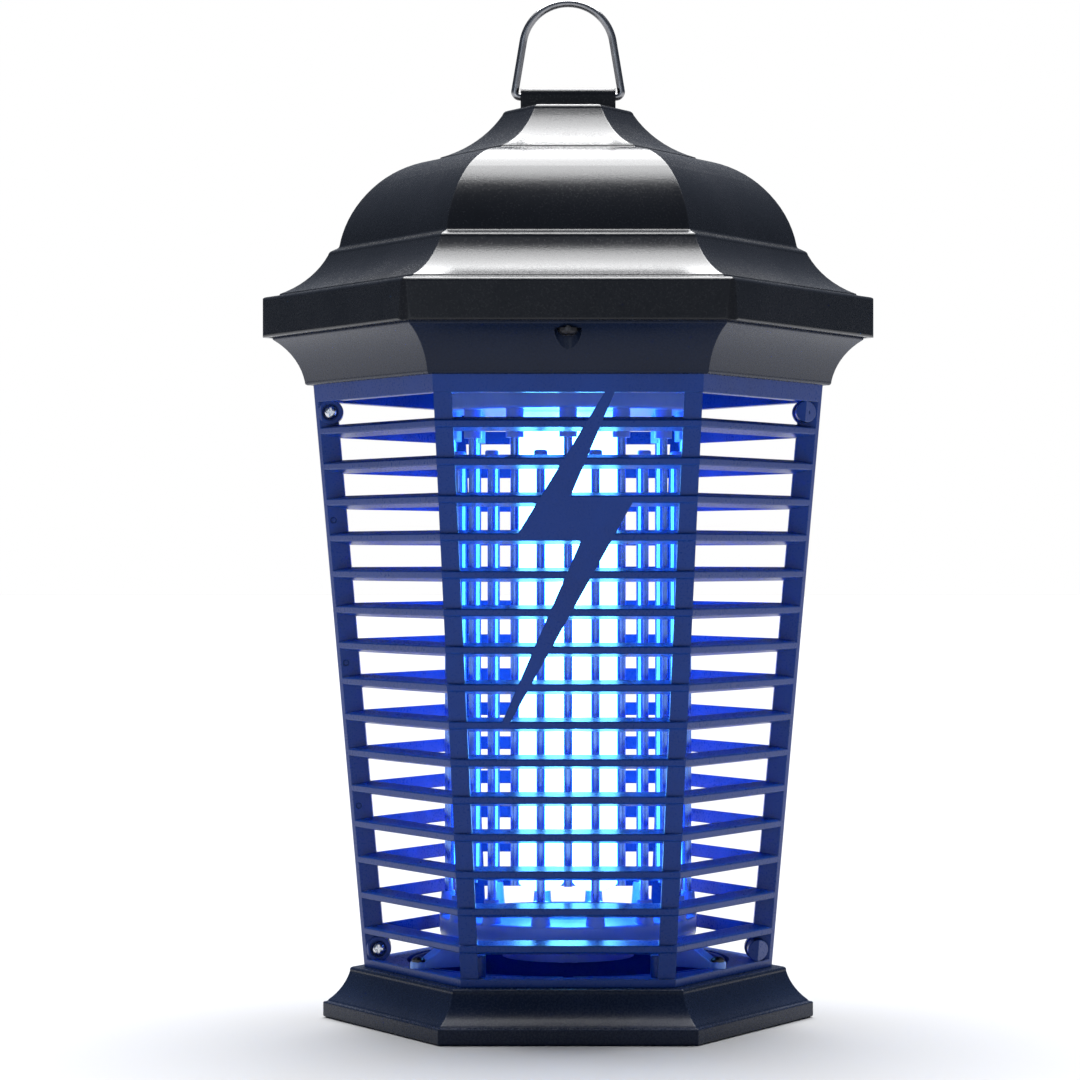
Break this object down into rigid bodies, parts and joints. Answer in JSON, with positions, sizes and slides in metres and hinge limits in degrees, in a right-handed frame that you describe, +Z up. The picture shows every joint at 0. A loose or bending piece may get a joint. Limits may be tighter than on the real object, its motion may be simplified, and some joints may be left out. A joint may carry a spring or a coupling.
{
  "type": "electric bug zapper",
  "caption": "Hexagonal lantern insect killer: domed hood with a wire bail, slatted two-part guard round a rod grid and UV lamp, foot with a drop-out tray.",
  "frame": {"origin": "centre of the foot's underside, on the surface it stands on", "axes": "+Z up, front face (lightning bolt) towards -Y, corners of the hexagon on +X and -X"},
  "size_m": [0.1934, 0.1688, 0.3222],
  "materials": {
    "black_plastic": "satin, fine grain",
    "guard_plastic": "satin, fine grain, navy",
    "bail_steel": "dark drawn wire",
    "screw_steel": "bright zinc",
    "screw_black": "blackened",
    "grid_steel": "drawn wire, blue-lit",
    "holder_plastic": "satin",
    "lamp_glass": "coated glass, lit blue-white",
    "lamp_plastic": "smooth",
    "pin_brass": "plain",
    "board_laminate": "solder mask",
    "ferrite": "matt",
    "coil_tape": "tape",
    "capacitor_resin": "dipped",
    "capacitor_can": "satin can",
    "diode_black": "moulded",
    "terminal_plastic": "moulded",
    "grommet_rubber": "matt"
  },
  "bodies": {
    "lantern": {"hood": "black_plastic", "collar": "black_plastic", "base": "black_plastic", "front_guard": "guard_plastic", "rear_guard": "guard_plastic", "guard_screws": "screw_steel", "guard_top_screws": "screw_steel", "upper_holder_screws": "screw_steel", "board_screws": "screw_steel", "lampholder_screws": "screw_steel", "base_screws": "screw_steel", "hood_screws": "screw_black", "lower_holder_screws": "screw_black", "upper_grid_rods": "grid_steel", "lower_grid_rods": "grid_steel", "feed_rod": "grid_steel", "upper_contact_ring": "grid_steel", "lower_contact_ring": "grid_steel", "upper_grid_holder": "holder_plastic", "lower_grid_holder": "holder_plastic", "rod_caps": "holder_plastic", "lamp_tube": "lamp_glass", "lamp_cap": "lamp_plastic", "lampholder": "lamp_plastic", "lamp_pins": "pin_brass", "circuit_board": "board_laminate", "transformer_core": "ferrite", "transformer_coil": "coil_tape", "film_capacitors": "capacitor_resin", "smoothing_capacitor": "capacitor_can", "diodes": "diode_black", "terminal_block": "terminal_plastic", "cord_grommet": "grommet_rubber"},
    "bail": {"bail": "bail_steel"},
    "tray": {"tray": "guard_plastic"}
  },
  "joints": [
    {"name": "bail_swing", "type": "hinge", "parent": "lantern", "child": "bail", "pos_m": [0, 0, 0.2914], "axis": [1, 0, 0], "range_deg": [-105, 105]},
    {"name": "tray_release", "type": "slide", "parent": "lantern", "child": "tray", "axis": [0, 0, -1], "range_m": [0, 0.03]}
  ]
}
